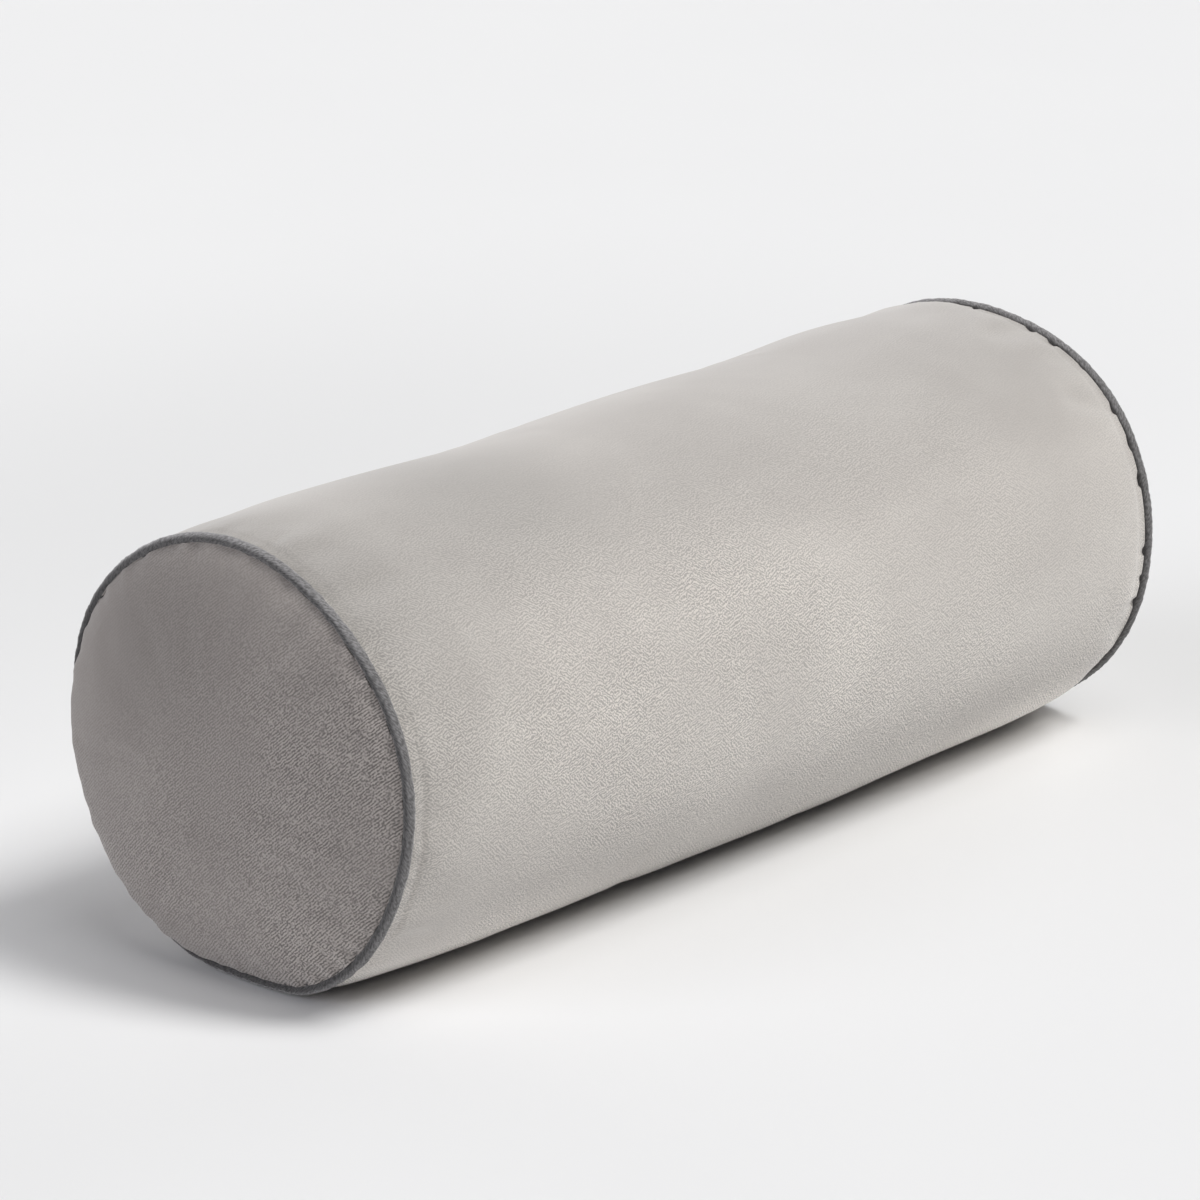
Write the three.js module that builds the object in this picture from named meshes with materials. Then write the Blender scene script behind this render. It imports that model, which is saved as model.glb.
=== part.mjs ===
// A round bolster cushion lying on its side: a velvet barrel with its filling, a domed velvet
// panel on each end and a piping cord sewn round each end seam. Millimetres, +Z up.
// The cushion's axis runs along X, left end at -X. The origin is on the surface that it lies
// on, below the middle of its bounding box.
import * as THREE from "three";

// Driving dimensions
const SEAM_TO_SEAM = 450; // distance between the two end seams
const SEAM_RADIUS = 85; // middle of the piping cord, before the cushion sags
const PIPING_RADIUS = 2.1;
const PANEL_THICKNESS = 2; // velvet with its pile
const CLEARANCE = 0.35; // between neighbouring pieces
const DOME_CLEARANCE = 0.4; // the same along X, where the domes slope
const AXIS_HEIGHT = 84.4; // height of the seam rings' middle above the surface

// How a seam ring departs from a circle: share of the radius, for the waves that go round it
// two, three, four and five times.
const RING_WAVES = [
  { turns: 2, leftCos: 0.002, leftSin: 0.0114, rightCos: 0.0041, rightSin: 0.018 },
  { turns: 3, leftCos: -0.0032, leftSin: 0.0026, rightCos: -0.0056, rightSin: 0.0114 },
  { turns: 4, leftCos: -0.0014, leftSin: -0.0027, rightCos: -0.0085, rightSin: -0.0013 },
  { turns: 5, leftCos: -0.0025, leftSin: 0.0064, rightCos: 0.0005, rightSin: -0.0028 },
];
const SETTLE = 4; // half the height over which the cloth rounds off on to the surface

// Crown of the barrel: how far it stands outside the seam line
const CROWN = {
  base: -1,
  rise: 6.1, // gained within a few centimetres of the seam
  riseLostBelow: 0.8,
  reach: 19,
  shoulder: 1.5, // the roll of cloth right beside the piping
  shoulderReach: 5,
  waistOnTop: -3.3, // middle of the length, on top
  sagBelow: 6.4, // added to that towards the underside
};

// Soft uneven swells of the barrel. along: place on the axis; facing: degrees round it, with
// 0 at the back, 90 on top and -90 below; length and spread: half-widths along and round it.
const SWELLS = [
  { along: -150, facing: 70, length: 40, spread: 30, height: 0.4 },
  { along: -76, facing: 68, length: 34, spread: 34, height: -0.7 },
  { along: 28, facing: 70, length: 32, spread: 36, height: 1.1 },
  { along: 98, facing: 66, length: 24, spread: 30, height: -0.5 },
  { along: 150, facing: 70, length: 22, spread: 34, height: 1.1 },
  { along: -160, facing: -122, length: 40, spread: 24, height: -0.7 },
  { along: 28, facing: -120, length: 42, spread: 26, height: 0.6 },
  { along: 190, facing: -118, length: 22, spread: 26, height: 0.7 },
  { along: 60, facing: 172, length: 60, spread: 24, height: -0.8 },
  { along: -60, facing: -165, length: 55, spread: 26, height: 0.6 },
  { along: 90, facing: 20, length: 70, spread: 30, height: 0.8 },
  { along: -110, facing: 5, length: 50, spread: 26, height: -0.7 },
];

// Small gathers where the barrel is eased on to the end seams
const GATHERS = { count: 19, unevenness: 1.9, unevenTurns: 3, height: 0.35, reach: 12 };

// Lengthwise seam that closes the barrel, low on the back
const CLOSING_SEAM = { facing: -48, halfWidth: 1.4, depth: 0.9 };

// Dome of an end panel: outer face at the seam and in the middle
const DOME_HEIGHT = 13;
const DOME_POWER = 3.5;

// Stations where the surfaces are built
const STEPS_ROUND = 64;
const PIPING_SIDES = 8;
const BARREL_STATIONS = [3.4, 5.5, 9, 14, 21, 30, 42, 57, 75, 96, 120, 146, 172, 198, 225];
// Where the cloth lies round the cord, in degrees round it: 0 faces along the axis into the
// barrel, 90 away from the axis.
const BARREL_WRAP = { from: -95, to: 22, steps: 5 };
const PANEL_WRAP = { outer: 205, rim: 230, inner: 255 };
const DOME_SHARES = [0.95, 0.88, 0.77, 0.6, 0.36];

const HALF = SEAM_TO_SEAM / 2;
const TUCK_RADIUS = PIPING_RADIUS + CLEARANCE; // round the cord, where the cloth tucks in
const CLOSING_HALF_ANGLE = THREE.MathUtils.radToDeg(CLOSING_SEAM.halfWidth / SEAM_RADIUS);
const radians = THREE.MathUtils.degToRad;

// Height after the cloth has come to rest on a level: flat where it would reach deeper, and
// rounded off above that.
function settled(height, level) {
  const above = height - level;
  if (above <= -SETTLE) return level;
  if (above >= SETTLE) return height;
  return level + (above + SETTLE) ** 2 / (4 * SETTLE);
}

// Point of the seam line at an angle, relative to the axis. share is 0 at the left seam and 1
// at the right seam.
function seamPoint(share, angle) {
  let radius = SEAM_RADIUS;
  for (const wave of RING_WAVES) {
    const cosine = THREE.MathUtils.lerp(wave.leftCos, wave.rightCos, share);
    const sine = THREE.MathUtils.lerp(wave.leftSin, wave.rightSin, share);
    radius += SEAM_RADIUS * cosine * Math.cos(wave.turns * angle);
    radius += SEAM_RADIUS * sine * Math.sin(wave.turns * angle);
  }
  const height = AXIS_HEIGHT + radius * Math.sin(angle);
  const rest = settled(height, PIPING_RADIUS + CLEARANCE);
  return new THREE.Vector2(radius * Math.cos(angle), rest - AXIS_HEIGHT);
}

// Outward direction of the seam line at an angle
function seamNormal(share, angle) {
  const step = 0.001;
  const along = seamPoint(share, angle + step).sub(seamPoint(share, angle - step));
  return new THREE.Vector2(along.y, -along.x).normalize();
}

// A point of the cushion: x along the axis, scale the share of the way from the axis to the
// seam line, lift the distance outside that line.
function place(x, angle, scale, lift) {
  const share = THREE.MathUtils.clamp((x + HALF) / SEAM_TO_SEAM, 0, 1);
  const spot = seamPoint(share, angle).multiplyScalar(scale);
  spot.addScaledVector(seamNormal(share, angle), lift);
  return new THREE.Vector3(x, spot.x, spot.y + AXIS_HEIGHT);
}

// Difference of two angles, from -180 to 180 degrees
function turnBetween(degrees, other) {
  return THREE.MathUtils.euclideanModulo(degrees - other + 180, 360) - 180;
}

function swell(x, degrees) {
  return SWELLS.reduce((sum, { along, facing, length, spread, height }) => {
    const farAlong = (x - along) / length;
    const farRound = turnBetween(degrees, facing) / spread;
    return sum + height * Math.exp(-0.5 * (farAlong ** 2 + farRound ** 2));
  }, 0);
}

function gather(fromSeam, angle) {
  const uneven = GATHERS.unevenness * Math.sin(GATHERS.unevenTurns * angle);
  const wave = Math.cos(GATHERS.count * angle + uneven);
  const depth = fromSeam * Math.exp(1 - fromSeam / GATHERS.reach);
  return (GATHERS.height * depth * wave) / GATHERS.reach;
}

// How far the barrel stands outside the seam line
function crown(x, angle) {
  const fromSeam = HALF - Math.abs(x);
  const degrees = THREE.MathUtils.radToDeg(angle);
  const sag = (1 - Math.sin(angle)) / 2;
  const shoulder = CROWN.shoulder * Math.exp(-fromSeam / CROWN.shoulderReach);
  const most = CROWN.rise - CROWN.riseLostBelow * sag;
  const rise = most * (1 - Math.exp(-fromSeam / CROWN.reach));
  const waist = (CROWN.waistOnTop + CROWN.sagBelow * sag) * (1 - (x / HALF) ** 2);
  const aside = turnBetween(degrees, CLOSING_SEAM.facing) / CLOSING_HALF_ANGLE;
  const groove = CLOSING_SEAM.depth * Math.max(0, 1 - Math.abs(aside));
  const easing = 1 - Math.exp(-fromSeam / CROWN.shoulderReach);
  const uneven = swell(x, degrees) * easing + gather(fromSeam, angle);
  return CROWN.base + shoulder + rise + waist + uneven - groove * easing;
}

// Angles round the cushion: even steps, with the closing seam's two edges and its bottom
function anglesRound(withClosingSeam) {
  const step = 360 / STEPS_ROUND;
  const degrees = Array.from({ length: STEPS_ROUND }, (_, i) => -180 + i * step);
  if (!withClosingSeam) return degrees.map(radians);
  const seam = [-1, 0, 1].map((side) => CLOSING_SEAM.facing + side * CLOSING_HALF_ANGLE);
  const kept = degrees.filter((d) => Math.abs(turnBetween(d, CLOSING_SEAM.facing)) > step / 2);
  return [...kept, ...seam].sort((a, b) => a - b).map(radians);
}

// A closed surface through rows of points that all go the same way round, with an apex at
// each end or, when closed on itself, the last row joined to the first.
function surfaceThrough(rows, apexes) {
  const points = rows.flat();
  const around = rows[0].length;
  const faces = [];
  const count = apexes ? rows.length - 1 : rows.length;
  for (let row = 0; row < count; row++) {
    const next = (row + 1) % rows.length;
    for (let i = 0; i < around; i++) {
      const j = (i + 1) % around;
      const [a, b] = [row * around + i, row * around + j];
      const [c, d] = [next * around + i, next * around + j];
      faces.push(a, b, c, b, d, c);
    }
  }
  if (apexes) {
    const first = points.push(apexes.first) - 1;
    const last = points.push(apexes.last) - 1;
    const lastRow = (rows.length - 1) * around;
    for (let i = 0; i < around; i++) {
      const j = (i + 1) % around;
      faces.push(first, j, i, last, lastRow + i, lastRow + j);
    }
  }
  const geometry = new THREE.BufferGeometry().setFromPoints(points);
  geometry.setIndex(faces);
  geometry.computeVertexNormals();
  return geometry;
}

// Place beside the cord of a seam: out is how far beyond the seam's plane, lift how far
// outside the seam line.
function besideCord(degrees) {
  const out = -TUCK_RADIUS * Math.cos(radians(degrees));
  return { out, lift: TUCK_RADIUS * Math.sin(radians(degrees)) };
}

// Rows of a dome from its middle outwards, and its apex. rim is its place beside the cord.
function domeRows(side, angles, rim, height) {
  const top = HALF + rim.out + height;
  const toSeam = (SEAM_RADIUS + rim.lift) / SEAM_RADIUS;
  const rows = [...DOME_SHARES].reverse().map((share) => {
    const x = side * (top - height * share ** DOME_POWER);
    return angles.map((angle) => place(x, angle, share * toSeam, 0));
  });
  return { rows, apex: new THREE.Vector3(side * top, 0, AXIS_HEIGHT) };
}

// A row of points beside the cord
function rowBesideCord(side, angles, { out, lift }) {
  return angles.map((angle) => place(side * (HALF + out), angle, 1, lift));
}

// Filled barrel: left dome under the end panel, tuck under the piping, crown, and the same
// again at the right end.
function barrelGeometry() {
  const angles = anglesRound(true);
  const rim = besideCord(PANEL_WRAP.inner);
  rim.out -= DOME_CLEARANCE;
  const halfBarrel = (side) => {
    const { rows, apex } = domeRows(side, angles, rim, DOME_HEIGHT);
    for (let i = 0; i <= BARREL_WRAP.steps; i++) {
      const share = i / BARREL_WRAP.steps;
      const wrap = THREE.MathUtils.lerp(BARREL_WRAP.from, BARREL_WRAP.to, share);
      rows.push(rowBesideCord(side, angles, besideCord(wrap)));
    }
    for (const fromSeam of BARREL_STATIONS) {
      const x = side * (HALF - fromSeam);
      const row = angles.map((angle) => place(x, angle, 1, crown(x, angle)));
      rows.push(row.map((point) => point.setZ(settled(point.z, 0))));
    }
    return { rows, apex };
  };
  const left = halfBarrel(-1);
  const right = halfBarrel(1);
  const rows = [...left.rows, ...right.rows.reverse().slice(1)];
  return surfaceThrough(rows, { first: left.apex, last: right.apex });
}

// Domed sheet over one end: outer face, rim beside the piping, inner face
function endPanelGeometry(side) {
  const angles = anglesRound(false);
  const outerRim = besideCord(PANEL_WRAP.outer);
  const innerRim = besideCord(PANEL_WRAP.inner);
  const height = DOME_HEIGHT + PANEL_THICKNESS + innerRim.out - outerRim.out;
  const outer = domeRows(side, angles, outerRim, height);
  const inner = domeRows(side, angles, innerRim, DOME_HEIGHT);
  const edge = [outerRim, besideCord(PANEL_WRAP.rim), innerRim];
  const rimRows = edge.map((spot) => rowBesideCord(side, angles, spot));
  const rows = [...outer.rows, ...rimRows, ...inner.rows.reverse()];
  if (side < 0) return surfaceThrough(rows, { first: outer.apex, last: inner.apex });
  return surfaceThrough(rows.reverse(), { first: inner.apex, last: outer.apex });
}

// Covered cord round one end seam
function pipingGeometry(side) {
  const angles = anglesRound(false);
  const rows = Array.from({ length: PIPING_SIDES }, (_, i) => {
    const turn = (2 * Math.PI * i) / PIPING_SIDES;
    const x = side * HALF - PIPING_RADIUS * Math.cos(turn);
    return angles.map((angle) => {
      const spot = place(side * HALF, angle, 1, PIPING_RADIUS * Math.sin(turn));
      return spot.setX(x);
    });
  });
  return surfaceThrough(rows, null);
}

const velvet = new THREE.MeshStandardMaterial({ color: 0xc4bfba, roughness: 0.95, metalness: 0 });
const endVelvet = new THREE.MeshStandardMaterial({ color: 0xb4afab, roughness: 0.95, metalness: 0 });
const pipingVelvet = new THREE.MeshStandardMaterial({ color: 0x5f5e60, roughness: 0.95, metalness: 0 });

const cushion = new THREE.Group();

function addPiece(name, geometry, material) {
  const piece = new THREE.Mesh(geometry, material);
  piece.name = name;
  cushion.add(piece);
}

addPiece("barrel_panel", barrelGeometry(), velvet);
addPiece("end_panel_left", endPanelGeometry(-1), endVelvet);
addPiece("end_panel_right", endPanelGeometry(1), endVelvet);
addPiece("piping_left", pipingGeometry(-1), pipingVelvet);
addPiece("piping_right", pipingGeometry(1), pipingVelvet);

const box = new THREE.Box3().setFromObject(cushion);
const middle = box.getCenter(new THREE.Vector3());
cushion.position.set(-middle.x, -middle.y, -box.min.z);

export default cushion;
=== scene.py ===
"""A round bolster cushion in short-pile velvet, with dark velvet piping sewn round both end
seams, lying on a pale studio floor. Metres, +Z up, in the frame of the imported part."""
import math

import bpy
import numpy as np
from mathutils import Matrix, Vector


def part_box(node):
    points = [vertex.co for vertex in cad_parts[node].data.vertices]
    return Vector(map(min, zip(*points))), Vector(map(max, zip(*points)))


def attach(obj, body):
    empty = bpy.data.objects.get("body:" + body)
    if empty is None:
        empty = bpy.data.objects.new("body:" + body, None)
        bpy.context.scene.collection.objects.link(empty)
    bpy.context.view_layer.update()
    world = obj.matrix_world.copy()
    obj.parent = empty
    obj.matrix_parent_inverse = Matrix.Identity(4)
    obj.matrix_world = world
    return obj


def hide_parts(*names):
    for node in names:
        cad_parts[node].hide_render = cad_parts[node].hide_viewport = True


MM = 0.001

# Driving dimensions, the same as the solids'
SEAM_TO_SEAM = 450 * MM
SEAM_RADIUS = 85 * MM
PIPING_RADIUS = 2.1 * MM
PANEL_THICKNESS = 2 * MM
AXIS_HEIGHT = 84.4 * MM
CLEARANCE = 0.35 * MM  # between the piping and what it lies on
HALF = SEAM_TO_SEAM / 2
SLOPE_STEP = 0.001  # radians to each side of a place, for the seam ring's direction there

# How a seam ring departs from a circle: waves round it, and their share of the radius
RING_WAVES = [
    {"turns": 2, "left": (0.002, 0.0114), "right": (0.0041, 0.018)},
    {"turns": 3, "left": (-0.0032, 0.0026), "right": (-0.0056, 0.0114)},
    {"turns": 4, "left": (-0.0014, -0.0027), "right": (-0.0085, -0.0013)},
    {"turns": 5, "left": (-0.0025, 0.0064), "right": (0.0005, -0.0028)},
]
SETTLE = 4 * MM
CROWN = {
    "base": -1 * MM,
    "rise": 6.1 * MM,
    "rise_lost_below": 0.8 * MM,
    "reach": 19 * MM,
    "shoulder": 1.5 * MM,
    "shoulder_reach": 5 * MM,
    "waist_on_top": -3.3 * MM,
    "sag_below": 6.4 * MM,
}

# Soft uneven swells of the barrel: along and length in mm, facing and spread in degrees round
# it (0 at the back, 90 on top), height in mm
SWELLS = [
    {"along": -212, "facing": 68, "length": 13, "spread": 26, "height": -0.6},
    {"along": -186, "facing": 60, "length": 11, "spread": 16, "height": -0.6},
    {"along": -150, "facing": 70, "length": 40, "spread": 30, "height": 0.15},
    {"along": -68, "facing": 68, "length": 30, "spread": 34, "height": -1.0},
    {"along": 28, "facing": 70, "length": 34, "spread": 36, "height": 0.6},
    {"along": 98, "facing": 66, "length": 26, "spread": 30, "height": -1.1},
    {"along": 150, "facing": 70, "length": 22, "spread": 34, "height": 0.5},
    {"along": 186, "facing": 66, "length": 14, "spread": 26, "height": -0.9},
    {"along": 213, "facing": 80, "length": 9, "spread": 14, "height": 1.0},
    {"along": -166, "facing": -120, "length": 36, "spread": 26, "height": 0.4},
    {"along": 44, "facing": -120, "length": 45, "spread": 26, "height": 0.9},
    {"along": 190, "facing": -118, "length": 22, "spread": 26, "height": 1.3},
    {"along": 60, "facing": 172, "length": 60, "spread": 24, "height": -0.8},
    {"along": -60, "facing": -165, "length": 55, "spread": 26, "height": 0.6},
    {"along": 90, "facing": 20, "length": 70, "spread": 30, "height": 0.8},
    {"along": -110, "facing": 5, "length": 50, "spread": 26, "height": -0.7},
]
GATHERS = {"count": 19, "unevenness": 1.9, "uneven_turns": 3, "height": 0.35 * MM, "reach": 12 * MM}
CLOSING_SEAM = {"facing": -48, "half_width": 1.4 * MM, "depth": 0.9 * MM, "points_across": 11}
DOME_HEIGHT = 13 * MM
DOME_POWER = 3.5

# Details of the cloth and the piping that the solids don't have
PILE_AT_CORD = 0.1 * MM
# The cloth beside the cord. Its places are degrees round the cord, where 0 faces into the barrel
# and 90 away from the axis. The barrel's cover goes in at one and leaves at another, from where it
# rises with distance from the seam. The domes and the panels end at the others.
TUCK = {
    "radius": PIPING_RADIUS + PILE_AT_CORD,
    "goes_in": -95,
    "leaves": 8,
    "rows": 8,
    "from_seam": 2.3 * MM,
    "reach": 0.6 * MM,
    "barrel_dome": 255,
    "dome_inset": 0.5 * MM,
    "panel_outside": 212,
    "panel_edge": (222, 236, 250),
    "panel_inside": 250,
    "cover_in_simulation": 230,
}
# The end panel's ditch beside the cord, and how its depth comes and goes with the stitches
DITCH = {"depth": 1.4 * MM, "width": 1.6 * MM, "usual": 0.65, "uneven": 0.5, "most": 1.4}
PUCKERS = {
    "waves": (26, 58),
    "on_barrel": 0.32 * MM,
    "on_end": 0.45 * MM,
    "reach": 4.5 * MM,
    "lost_in_overhang": 0.65,
}
# Dents where stitches draw the cloth in, which is where a signal is above "from". The barrel's
# cover leaves its tuck later there, by "turn" degrees round the cord, and rises more slowly.
NOTCHES = {
    "waves": (18, 54),
    "from": 0.75,
    "depth": 1.0 * MM,
    "reach": 3.2 * MM,
    "turn": 32,
    "longer": 1.6 * MM,
}
PULLS = {
    "count": 26,
    "height": 0.22 * MM,
    "longest": 24 * MM,
    "half_width": 1.3 * MM,
    "slant": 0.35,
    "least": 0.3,
}
SEAM_RIDGE = {"from_seam": 4.4 * MM, "height": 0.08 * MM, "half_width": 1.1 * MM}
SEAM_CREASE = {"from_seam": 6.9 * MM, "height": -0.09 * MM, "half_width": 0.9 * MM}
RIDGE_ARC = {"facing": 186, "spread": 26}

# Where the left end panel swells over its cord, with facing and spread in degrees. The cord
# rolls towards the barrel there and sinks, and the panel's wall stands out, more at one place.
# Each reach is the distance in which a measure fades.
OVERHANG = {
    "facing": -31,
    "spread": 52,
    "roll": 1.6 * MM,
    "sunk": 0.6 * MM,
    "wall": 2.9 * MM,
    "more": 1.2 * MM,
    "more_facing": 5,
    "more_spread": 14,
    "wall_reach": 0.6 * MM,
    "roll_reach": 0.5 * MM,
    "sunk_reach": 4 * MM,
    "barrel_reach": 8 * MM,
}

# Cord: how uneven its thickness is, and its pile, which is the lengths of the tufts along and
# across them, how they slant, and how far they stand out
CORD_WAVES = {"waves": (9, 70), "share": 0.025}
TUFTS = {"along": 1.7 * MM, "across": 0.5 * MM, "slant": 35, "height": 0.07 * MM}
# The dimple beside the near piping, in the same measures as the swells
PRESSED_SPOTS = [
    {"along": -219, "facing": 98.4, "length": 2, "spread": 1.3, "height": -0.35},
    {"along": -215.5, "facing": 97.6, "length": 2, "spread": 1.3, "height": -0.5},
    {"along": -212, "facing": 96.8, "length": 2, "spread": 1.3, "height": -0.5},
    {"along": -208.5, "facing": 96, "length": 2, "spread": 1.3, "height": -0.35},
    {"along": -208, "facing": 100.5, "length": 5, "spread": 2.2, "height": 0.35},
]

# Cloth simulation of the cover under the pressure of its filling. The cover starts smaller and
# grows, and of its shape only the fine wrinkles are kept, up to the cap. They fade towards the
# seams and the middles of the domes.
SIM = {
    "around": 180,
    "step": 3.3 * MM,
    "smaller": 1.5 * MM,
    "growth": 0.03,
    "pressure": 4.0,
    "frames": 20,
    "cap": 0.9 * MM,
    "keeps_under": 26 * MM,  # waves longer than this stay as the crown has them
    "blur": 0.6,
    "clear_of_seam": 3 * MM,
    "dome_from": 0.06,
    "dome_to": 0.97,
    "quality": 6,
    "stretch_stiffness": 12,
    "bending_stiffness": 0.8,
    "fades_on_barrel": 6 * MM,
    "fades_on_dome": 4 * MM,
    "fades_to_middle": 0.3,
}

# Points of the meshes. Rows of the barrel are in mm from a seam, and rows of a dome are shares
# of the way out from its middle.
POINTS_ROUND = {"barrel": 350, "end_panel": 320, "cord": 30}
POINTS_ALONG_CORD = 1700
BARREL_ROWS = np.concatenate([
    np.arange(2.5, 6, 0.5), np.arange(6, 14, 0.9), np.arange(14, 40, 1.45), np.linspace(40, 225, 88)])
END_PANEL_ROWS = np.concatenate([
    np.linspace(0.04, 0.86, 42), np.linspace(0.875, 0.97, 20), np.linspace(0.973, 0.998, 14)])
HIDDEN_ROWS = (0.36, 0.6, 0.77, 0.88, 0.95)
BARREL_DOME_ROWS = (0.12, *HIDDEN_ROWS)
PANEL_INSIDE_ROWS = (0.1, *HIDDEN_ROWS)

# Seeds of the random draws at the left end; the right end has the next number
SEEDS = {
    "barrel_puckers": 11,
    "barrel_pulls": 31,
    "barrel_notches": 51,
    "end_puckers": 31,
    "end_pulls": 51,
    "end_notches": 71,
    "ditch": 91,
    "cord": 41,
    "tufts": 51,
}

# Camera: azimuth and height angle of its place round the axis, how far off the middle it
# points, and its lens
CAMERA = {
    "azimuth": -49.457,
    "elevation": 17.887,
    "distance": 2213.4 * MM,
    "yaw": 0.406,
    "pitch": -0.229,
    "lens_mm": 168.26,
    "sensor_mm": 36,
    "sees_to": 50,
}

# Soft lights from far away; azimuth 0 comes from the front (-Y) and 90 from +X
WARM = (1, 0.996, 0.984)
HALF_WARM = (1, 0.998, 0.992)
COOL = (0.94, 0.945, 1)
HALF_COOL = (0.98, 0.99, 1)
WHITE = (1, 1, 1)
LIGHTS = [
    {"name": "key", "azimuth": 27, "elevation": 50, "strength": 1.0, "spread": 15, "colour": WARM},
    {"name": "high_key", "azimuth": 30, "elevation": 62, "strength": 1.12, "spread": 15, "colour": WARM},
    {"name": "top", "azimuth": -4, "elevation": 72, "strength": 0.7, "spread": 36, "colour": HALF_WARM},
    {"name": "left", "azimuth": -98, "elevation": 40, "strength": 0.24, "spread": 40, "colour": COOL},
    {"name": "low_left", "azimuth": -110, "elevation": 18, "strength": 1.15, "spread": 40, "colour": COOL},
    {"name": "right", "azimuth": 100, "elevation": 13, "strength": 0.85, "spread": 30, "colour": WHITE},
    {"name": "back", "azimuth": 160, "elevation": 20, "strength": 0.3, "spread": 36, "colour": HALF_COOL},
]
WORLD = {"colour": (0.95, 0.95, 1), "strength": 0.08}
FLOOR_REACH = 8.0


def settled(height, level):
    """Height after the cloth has come to rest on a level, rounded off above it."""
    above = height - level
    eased = level + (above + SETTLE) ** 2 / (4 * SETTLE)
    return np.where(above <= -SETTLE, level, np.where(above >= SETTLE, height, eased))


def seam_point(share, angle):
    """Point (y, z) of the seam line about the axis; share is 0 at the left seam, 1 at the right."""
    radius = SEAM_RADIUS
    for wave in RING_WAVES:
        turned = wave["turns"] * angle
        parts = np.cos(turned), np.sin(turned)
        for part, left, right in zip(parts, wave["left"], wave["right"]):
            radius = radius + SEAM_RADIUS * (left + (right - left) * share) * part
    level = PIPING_RADIUS + CLEARANCE
    height = settled(AXIS_HEIGHT + radius * np.sin(angle), level)
    return radius * np.cos(angle), height - AXIS_HEIGHT


def place(x, angle, scale, lift):
    """Points at x along the axis: scale is the share of the way out to the seam line, lift the
    distance outside it."""
    x, angle, scale, lift = np.broadcast_arrays(x, angle, scale, lift)
    share = np.clip((x + HALF) / SEAM_TO_SEAM, 0, 1)
    y, z = seam_point(share, angle)
    ahead, behind = (seam_point(share, angle + step) for step in (SLOPE_STEP, -SLOPE_STEP))
    along_y, along_z = ahead[0] - behind[0], ahead[1] - behind[1]
    length = np.hypot(along_y, along_z)
    out_y, out_z = along_z / length, -along_y / length
    return np.stack([x, y * scale + out_y * lift, z * scale + out_z * lift + AXIS_HEIGHT], axis=-1)


def turn_between(degrees, other):
    """Signed turn in degrees from one direction to another, the short way."""
    return (degrees - other + 180) % 360 - 180


def swells(rows, x, degrees):
    """Height of the soft swells in rows, at x and degrees round the cushion."""
    total = 0
    for row in rows:
        far_along = (x / MM - row["along"]) / row["length"]
        far_round = turn_between(degrees, row["facing"]) / row["spread"]
        total = total + row["height"] * MM * np.exp(-0.5 * (far_along**2 + far_round**2))
    return total


def gather(from_seam, angle):
    """Height of the even gathers at a seam."""
    uneven = GATHERS["unevenness"] * np.sin(GATHERS["uneven_turns"] * angle)
    depth = from_seam * np.exp(1 - from_seam / GATHERS["reach"])
    return GATHERS["height"] * depth * np.cos(GATHERS["count"] * angle + uneven) / GATHERS["reach"]


def crown(x, angle):
    """How far the barrel stands outside the seam line, as the solids have it."""
    from_seam = HALF - np.abs(x)
    degrees = np.degrees(angle)
    sag = (1 - np.sin(angle)) / 2
    shoulder = CROWN["shoulder"] * np.exp(-from_seam / CROWN["shoulder_reach"])
    most = CROWN["rise"] - CROWN["rise_lost_below"] * sag
    rise = most * (1 - np.exp(-from_seam / CROWN["reach"]))
    waist = (CROWN["waist_on_top"] + CROWN["sag_below"] * sag) * (1 - (x / HALF) ** 2)
    aside = turn_between(degrees, CLOSING_SEAM["facing"])
    aside = np.abs(np.radians(aside)) * SEAM_RADIUS / CLOSING_SEAM["half_width"]
    groove = CLOSING_SEAM["depth"] * np.exp(-(aside**2))
    easing = 1 - np.exp(-from_seam / CROWN["shoulder_reach"])
    uneven = swells(SWELLS, x, degrees) * easing + gather(from_seam, angle)
    return CROWN["base"] + shoulder + rise + waist + uneven - groove * easing


def seed_of(use, side):
    return SEEDS[use] + (0 if side < 0 else 1)


def ring_signal(angle, waves, seed):
    """Irregular wave round a seam, about 1 high, the same at 0 and 360 degrees. waves says from
    how many to how many turns it has."""
    dice = np.random.default_rng(seed)
    turns = np.arange(*waves)
    sizes = dice.normal(size=len(turns))
    starts = dice.uniform(0, 2 * math.pi, len(turns))
    total = sum(size * np.cos(turn * angle + start) for turn, size, start in zip(turns, sizes, starts))
    return total / math.sqrt((sizes**2).sum() / 2)


def drawn_in(angle, seed):
    """Where stitches draw the cloth into a seam, 0 to 1."""
    return np.clip(ring_signal(angle, NOTCHES["waves"], seed) - NOTCHES["from"], 0, 1)


def notches(from_seam, angle, seed):
    """Short dents at those stitches."""
    return -NOTCHES["depth"] * drawn_in(angle, seed) * np.exp(-from_seam / NOTCHES["reach"])


def pulls(from_seam, angle, seed):
    """Short soft ridges where the cloth is pulled from the seam."""
    dice = np.random.default_rng(seed)
    total = 0
    for _ in range(PULLS["count"]):
        facing = dice.uniform(-180, 180)
        length = PULLS["longest"] * dice.uniform(PULLS["least"], 1)
        slant = dice.normal(0, PULLS["slant"])
        height = PULLS["height"] * dice.uniform(PULLS["least"], 1)
        aside = np.radians(turn_between(np.degrees(angle), facing)) * SEAM_RADIUS - slant * from_seam
        across = np.exp(-((aside / (PULLS["half_width"] * (1 + from_seam / length))) ** 2))
        total = total + height * across * np.exp(-((from_seam / length) ** 2))
    return total


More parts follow.
